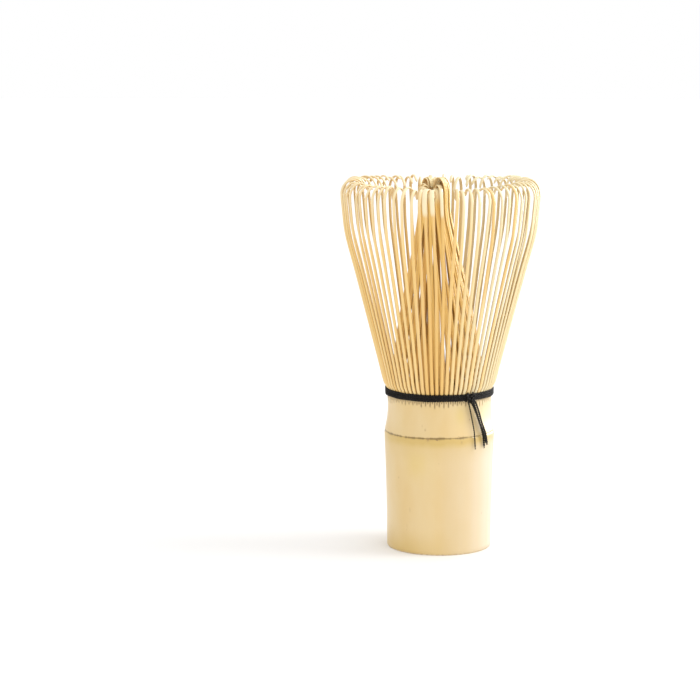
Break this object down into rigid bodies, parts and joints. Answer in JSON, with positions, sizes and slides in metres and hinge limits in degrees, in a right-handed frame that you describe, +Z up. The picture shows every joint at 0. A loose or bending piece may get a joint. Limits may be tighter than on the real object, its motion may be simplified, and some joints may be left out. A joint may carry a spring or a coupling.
{
  "type": "bamboo tea whisk",
  "caption": "Bamboo whisk for powdered tea, with a round culm handle, a flared crown of hooked outer tines, a cone of inner tines and a black thread binding.",
  "frame": {"origin": "centre of the handle's cut end, on the surface that the whisk stands on", "axes": "+Z up the whisk's axis towards the tines; -Y is the side nearest the knot's front, which lies 33 degrees from -Y towards +X"},
  "size_m": [0.0604, 0.0604, 0.1116],
  "materials": {
    "bamboo_culm": "smooth pale bamboo skin, satin",
    "bamboo_tine": "split and shaved bamboo, dull satin",
    "bamboo_inner": "split bamboo, matt",
    "thread": "black twisted cotton"
  },
  "bodies": {
    "handle": {"handle": "bamboo_culm", "inner_splint_01": "bamboo_inner", "inner_splint_02": "bamboo_inner", "inner_splint_03": "bamboo_inner", "inner_splint_04": "bamboo_inner", "inner_splint_05": "bamboo_inner", "inner_splint_06": "bamboo_inner", "inner_splint_07": "bamboo_inner", "inner_splint_08": "bamboo_inner", "inner_splint_09": "bamboo_inner", "inner_splint_10": "bamboo_inner", "inner_splint_11": "bamboo_inner", "inner_splint_12": "bamboo_inner", "inner_splint_13": "bamboo_inner", "inner_splint_14": "bamboo_inner", "inner_splint_15": "bamboo_inner", "inner_splint_16": "bamboo_inner", "inner_splint_17": "bamboo_inner", "inner_splint_18": "bamboo_inner", "thread_round_lower": "thread", "thread_round_middle": "thread", "thread_round_upper": "thread", "thread_round_inner": "thread", "thread_knot": "thread", "thread_tail_1": "thread", "thread_tail_2": "thread", "thread_tail_3": "thread", "thread_tail_4": "thread"},
    "outer_splint_01": {"outer_splint_01": "bamboo_tine"},
    "outer_splint_02": {"outer_splint_02": "bamboo_tine"},
    "outer_splint_03": {"outer_splint_03": "bamboo_tine"},
    "outer_splint_04": {"outer_splint_04": "bamboo_tine"},
    "outer_splint_05": {"outer_splint_05": "bamboo_tine"},
    "outer_splint_06": {"outer_splint_06": "bamboo_tine"},
    "outer_splint_07": {"outer_splint_07": "bamboo_tine"},
    "outer_splint_08": {"outer_splint_08": "bamboo_tine"},
    "outer_splint_09": {"outer_splint_09": "bamboo_tine"},
    "outer_splint_10": {"outer_splint_10": "bamboo_tine"},
    "outer_splint_11": {"outer_splint_11": "bamboo_tine"},
    "outer_splint_12": {"outer_splint_12": "bamboo_tine"},
    "outer_splint_13": {"outer_splint_13": "bamboo_tine"},
    "outer_splint_14": {"outer_splint_14": "bamboo_tine"},
    "outer_splint_15": {"outer_splint_15": "bamboo_tine"},
    "outer_splint_16": {"outer_splint_16": "bamboo_tine"},
    "outer_splint_17": {"outer_splint_17": "bamboo_tine"},
    "outer_splint_18": {"outer_splint_18": "bamboo_tine"}
  },
  "joints": [
    {"name": "tine_flex_01", "type": "hinge", "parent": "handle", "child": "outer_splint_01", "pos_m": [0.01517, 0.00267, 0.0476], "axis": [-0.1736, 0.9848, 0], "range_deg": [-3, 5], "stiffness_Nm_per_rad": 0.026},
    {"name": "tine_flex_02", "type": "hinge", "parent": "handle", "child": "outer_splint_02", "pos_m": [0.01334, 0.0077, 0.0476], "axis": [-0.5, 0.866, 0], "range_deg": [-3, 5], "stiffness_Nm_per_rad": 0.026},
    {"name": "tine_flex_03", "type": "hinge", "parent": "handle", "child": "outer_splint_03", "pos_m": [0.0099, 0.0118, 0.0476], "axis": [-0.766, 0.6428, 0], "range_deg": [-3, 5], "stiffness_Nm_per_rad": 0.026},
    {"name": "tine_flex_04", "type": "hinge", "parent": "handle", "child": "outer_splint_04", "pos_m": [0.00527, 0.01447, 0.0476], "axis": [-0.9397, 0.342, 0], "range_deg": [-3, 5], "stiffness_Nm_per_rad": 0.026},
    {"name": "tine_flex_05", "type": "hinge", "parent": "handle", "child": "outer_splint_05", "pos_m": [0, 0.0154, 0.0476], "axis": [-1, 0, 0], "range_deg": [-3, 5], "stiffness_Nm_per_rad": 0.026},
    {"name": "tine_flex_06", "type": "hinge", "parent": "handle", "child": "outer_splint_06", "pos_m": [-0.00527, 0.01447, 0.0476], "axis": [-0.9397, -0.342, 0], "range_deg": [-3, 5], "stiffness_Nm_per_rad": 0.026},
    {"name": "tine_flex_07", "type": "hinge", "parent": "handle", "child": "outer_splint_07", "pos_m": [-0.0099, 0.0118, 0.0476], "axis": [-0.766, -0.6428, 0], "range_deg": [-3, 5], "stiffness_Nm_per_rad": 0.026},
    {"name": "tine_flex_08", "type": "hinge", "parent": "handle", "child": "outer_splint_08", "pos_m": [-0.01334, 0.0077, 0.0476], "axis": [-0.5, -0.866, 0], "range_deg": [-3, 5], "stiffness_Nm_per_rad": 0.026},
    {"name": "tine_flex_09", "type": "hinge", "parent": "handle", "child": "outer_splint_09", "pos_m": [-0.01517, 0.00267, 0.0476], "axis": [-0.1736, -0.9848, 0], "range_deg": [-3, 5], "stiffness_Nm_per_rad": 0.026},
    {"name": "tine_flex_10", "type": "hinge", "parent": "handle", "child": "outer_splint_10", "pos_m": [-0.01517, -0.00267, 0.0476], "axis": [0.1736, -0.9848, 0], "range_deg": [-3, 5], "stiffness_Nm_per_rad": 0.026},
    {"name": "tine_flex_11", "type": "hinge", "parent": "handle", "child": "outer_splint_11", "pos_m": [-0.01334, -0.0077, 0.0476], "axis": [0.5, -0.866, 0], "range_deg": [-3, 5], "stiffness_Nm_per_rad": 0.026},
    {"name": "tine_flex_12", "type": "hinge", "parent": "handle", "child": "outer_splint_12", "pos_m": [-0.0099, -0.0118, 0.0476], "axis": [0.766, -0.6428, 0], "range_deg": [-3, 5], "stiffness_Nm_per_rad": 0.026},
    {"name": "tine_flex_13", "type": "hinge", "parent": "handle", "child": "outer_splint_13", "pos_m": [-0.00527, -0.01447, 0.0476], "axis": [0.9397, -0.342, 0], "range_deg": [-3, 5], "stiffness_Nm_per_rad": 0.026},
    {"name": "tine_flex_14", "type": "hinge", "parent": "handle", "child": "outer_splint_14", "pos_m": [0, -0.0154, 0.0476], "axis": [1, 0, 0], "range_deg": [-3, 5], "stiffness_Nm_per_rad": 0.026},
    {"name": "tine_flex_15", "type": "hinge", "parent": "handle", "child": "outer_splint_15", "pos_m": [0.00527, -0.01447, 0.0476], "axis": [0.9397, 0.342, 0], "range_deg": [-3, 5], "stiffness_Nm_per_rad": 0.026},
    {"name": "tine_flex_16", "type": "hinge", "parent": "handle", "child": "outer_splint_16", "pos_m": [0.0099, -0.0118, 0.0476], "axis": [0.766, 0.6428, 0], "range_deg": [-3, 5], "stiffness_Nm_per_rad": 0.026},
    {"name": "tine_flex_17", "type": "hinge", "parent": "handle", "child": "outer_splint_17", "pos_m": [0.01334, -0.0077, 0.0476], "axis": [0.5, 0.866, 0], "range_deg": [-3, 5], "stiffness_Nm_per_rad": 0.026},
    {"name": "tine_flex_18", "type": "hinge", "parent": "handle", "child": "outer_splint_18", "pos_m": [0.01517, -0.00267, 0.0476], "axis": [0.1736, 0.9848, 0], "range_deg": [-3, 5], "stiffness_Nm_per_rad": 0.026}
  ]
}
